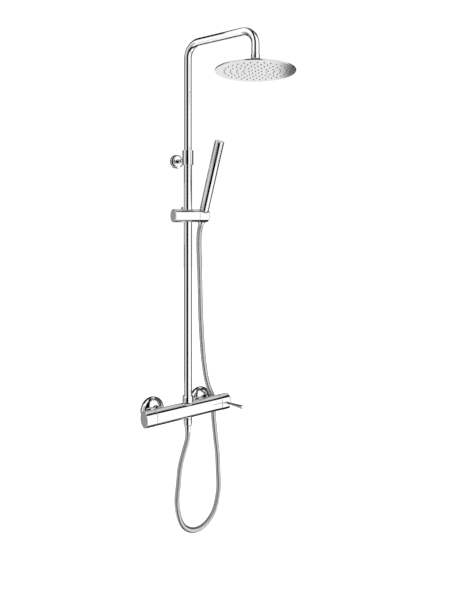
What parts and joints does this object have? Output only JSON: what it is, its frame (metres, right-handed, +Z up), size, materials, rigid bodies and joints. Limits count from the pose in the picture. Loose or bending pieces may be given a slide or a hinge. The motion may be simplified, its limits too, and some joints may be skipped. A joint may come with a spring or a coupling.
{
  "type": "rainfall shower column",
  "caption": "Wall-hung rainfall shower column: bar mixer, telescopic riser with swivelling arm, flat round overhead shower, sliding holder, hand shower and hose.",
  "frame": {"origin": "on the wall plane, midway between the two water unions, at the height of their axes", "axes": "+X along the wall to the right as seen from the front, +Y into the wall, +Z up along the riser"},
  "size_m": [0.3024, 0.3879, 1.3251],
  "materials": {
    "chrome": "mirror",
    "satin": "satin",
    "brass": "machined",
    "steel": "smooth",
    "rubber": "matt",
    "plastic": "matt",
    "dark_plastic": "matt"
  },
  "bodies": {
    "fixed_column": {"mixer_body": "chrome", "diverter_cartridge": "dark_plastic", "diverter_cartridge_nut": "brass", "mixing_cartridge": "dark_plastic", "mixing_cartridge_nut": "brass", "hose_outlet": "brass", "hose_washer_lower": "rubber", "hose_nut_lower": "chrome", "union_nut_left": "chrome", "union_washer_left": "rubber", "check_valve_left": "plastic", "wall_union_left": "brass", "rosette_left": "chrome", "union_nut_right": "chrome", "union_washer_right": "rubber", "check_valve_right": "plastic", "wall_union_right": "brass", "rosette_right": "chrome", "riser_base_nut": "chrome", "riser_base_washer": "rubber", "riser_lower_tube": "chrome", "riser_bracket": "chrome", "riser_bush": "plastic", "collar_grub_screw": "steel", "bracket_base": "brass", "bracket_cover": "chrome", "bracket_wall_screw": "steel", "bracket_grub_screw": "steel", "shower_hose": "steel"},
    "diverter": {"diverter_knob": "chrome", "diverter_spindle": "brass", "diverter_knob_screw": "steel"},
    "mixer_control": {"mixer_handle": "chrome", "mixer_lever": "chrome", "mixing_spindle": "brass", "mixer_handle_screw": "steel"},
    "telescope": {"telescope_plug": "plastic", "telescope_o_ring": "rubber"},
    "shower_arm": {"shower_arm_tube": "chrome", "arm_swivel_nipple": "chrome"},
    "ball_front": {"ball_seat": "plastic"},
    "ball_side": {"ball_seal": "rubber"},
    "overhead_shower": {"head_swivel_nut": "chrome", "head_back_shell": "chrome", "head_nozzle_mat": "rubber", "head_spray_plate": "satin"},
    "slider_carriage": {"slider_grip_sleeve": "dark_plastic"},
    "slider": {"slider_body": "chrome", "slider_end_cap": "chrome"},
    "slider_clamp": {"slider_clamp_lever": "chrome", "slider_clamp_screw": "steel"},
    "handset_bracket": {"handset_holder": "chrome", "holder_insert": "plastic", "holder_pivot_pin": "steel"},
    "hose_end": {"hose_nut_upper": "chrome", "hose_washer_upper": "rubber"},
    "handset": {"handset_body": "chrome", "handset_spray_plate": "satin", "handset_end_cap": "chrome"}
  },
  "joints": [
    {"name": "diverter_turn", "type": "hinge", "parent": "fixed_column", "child": "diverter", "pos_m": [-0.115, -0.065, 0], "axis": [1, 0, 0], "range_deg": [0, 90]},
    {"name": "lever_turn", "type": "hinge", "parent": "fixed_column", "child": "mixer_control", "pos_m": [0.113, -0.065, 0], "axis": [1, 0, 0], "range_deg": [-100, 0]},
    {"name": "arm_height", "type": "slide", "parent": "fixed_column", "child": "telescope", "axis": [0, 0, 1], "range_m": [-0.12, 0.2]},
    {"name": "arm_swivel", "type": "hinge", "parent": "telescope", "child": "shower_arm", "pos_m": [0, -0.065, 0.69], "axis": [0, 0, 1], "range_deg": [-90, 50]},
    {"name": "head_tilt_front", "type": "hinge", "parent": "shower_arm", "child": "ball_front", "pos_m": [0.07376, -0.26546, 0.8915], "axis": [0.9385, 0.3453, 0], "range_deg": [-15, 15]},
    {"name": "head_tilt_side", "type": "hinge", "parent": "ball_front", "child": "ball_side", "pos_m": [0.07376, -0.26546, 0.8915], "axis": [-0.3453, 0.9385, 0], "range_deg": [-15, 15]},
    {"name": "head_spin", "type": "hinge", "parent": "ball_side", "child": "overhead_shower", "pos_m": [0.07376, -0.26546, 0.8915], "axis": [0, 0, 1], "continuous": true},
    {"name": "slider_height", "type": "slide", "parent": "fixed_column", "child": "slider_carriage", "axis": [0, 0, 1], "range_m": [-0.22, 0.1], "deforming": ["shower_hose"]},
    {"name": "slider_swivel", "type": "hinge", "parent": "slider_carriage", "child": "slider", "pos_m": [0, -0.065, 0.5186], "axis": [0, 0, 1], "range_deg": [-45, 45]},
    {"name": "clamp_turn", "type": "hinge", "parent": "slider", "child": "slider_clamp", "pos_m": [0, -0.065, 0.5186], "axis": [0.0785, 0.9969, 0], "range_deg": [-90, 0]},
    {"name": "holder_tilt", "type": "hinge", "parent": "slider", "child": "handset_bracket", "pos_m": [0.04486, -0.06853, 0.5186], "axis": [0.9969, -0.0785, 0], "range_deg": [-26, 20]},
    {"name": "handset_lift", "type": "slide", "parent": "handset_bracket", "child": "hose_end", "axis": [-0.0344, -0.437, 0.8988], "range_m": [0, 0.045]},
    {"name": "handset_turn", "type": "hinge", "parent": "hose_end", "child": "handset", "pos_m": [0.04486, -0.06853, 0.5186], "axis": [-0.0344, -0.437, 0.8988], "continuous": true}
  ]
}
